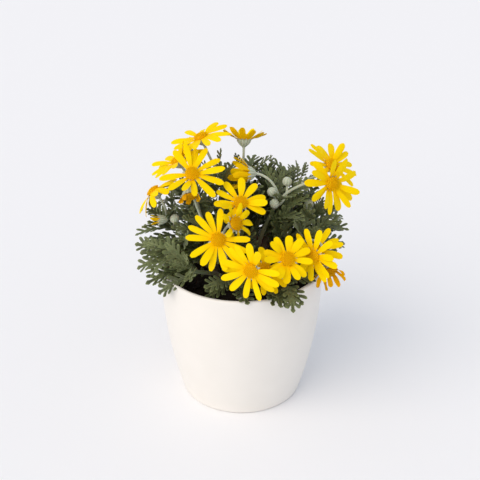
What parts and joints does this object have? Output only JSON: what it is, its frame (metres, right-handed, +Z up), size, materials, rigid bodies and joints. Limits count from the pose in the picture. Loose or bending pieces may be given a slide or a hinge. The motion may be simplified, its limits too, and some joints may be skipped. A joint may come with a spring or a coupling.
{
  "type": "potted euryops",
  "caption": "Small yellow daisy bush with finely cut grey-green leaves, growing in a plastic nursery pot inside a plain white glazed cover pot.",
  "frame": {"origin": "centre of the cover pot's flat base, where it stands", "axes": "+Z up; most of the flower heads face -Y, the side that the picture shows; +X is the picture's right"},
  "size_m": [0.1878, 0.177, 0.237],
  "materials": {
    "white_glaze": "satin",
    "brown_plastic": "matte",
    "peat": "matte",
    "felted_green": "matte",
    "yellow_petals": "satin",
    "orange_florets": "matte"
  },
  "bodies": {
    "root": {"cover_pot": "white_glaze", "nursery_pot": "brown_plastic", "potting_soil": "peat", "leafy_stem_01": "felted_green", "leafy_stem_02": "felted_green", "leafy_stem_03": "felted_green", "leafy_stem_04": "felted_green", "leafy_stem_05": "felted_green", "leafy_stem_06": "felted_green", "leafy_stem_07": "felted_green", "leafy_stem_08": "felted_green", "leafy_stem_09": "felted_green", "leafy_stem_10": "felted_green", "leafy_stem_11": "felted_green", "leafy_stem_12": "felted_green", "leafy_stem_13": "felted_green", "leafy_stem_14": "felted_green", "leafy_stem_15": "felted_green", "leafy_stem_16": "felted_green", "leafy_stem_17": "felted_green", "head_a_petals": "yellow_petals", "head_a_florets": "orange_florets", "head_b_petals": "yellow_petals", "head_b_florets": "orange_florets", "head_c_petals": "yellow_petals", "head_c_florets": "orange_florets", "head_d_petals": "yellow_petals", "head_d_florets": "orange_florets", "head_e_petals": "yellow_petals", "head_e_florets": "orange_florets", "head_f_petals": "yellow_petals", "head_f_florets": "orange_florets", "head_g_petals": "yellow_petals", "head_g_florets": "orange_florets", "head_h_petals": "yellow_petals", "head_h_florets": "orange_florets", "head_i_petals": "yellow_petals", "head_i_florets": "orange_florets", "head_j_petals": "yellow_petals", "head_j_florets": "orange_florets", "head_k_petals": "yellow_petals", "head_k_florets": "orange_florets", "head_l_petals": "yellow_petals", "head_l_florets": "orange_florets", "head_m_petals": "yellow_petals", "head_m_florets": "orange_florets", "head_n_petals": "yellow_petals", "head_n_florets": "orange_florets", "head_o_petals": "yellow_petals", "head_o_florets": "orange_florets", "head_p_petals": "yellow_petals", "head_p_florets": "orange_florets", "head_q_petals": "yellow_petals", "head_q_florets": "orange_florets", "head_r_petals": "yellow_petals", "head_r_florets": "orange_florets", "head_s_petals": "yellow_petals", "head_s_florets": "orange_florets", "opening_bud_petals": "yellow_petals"}
  },
  "joints": []
}
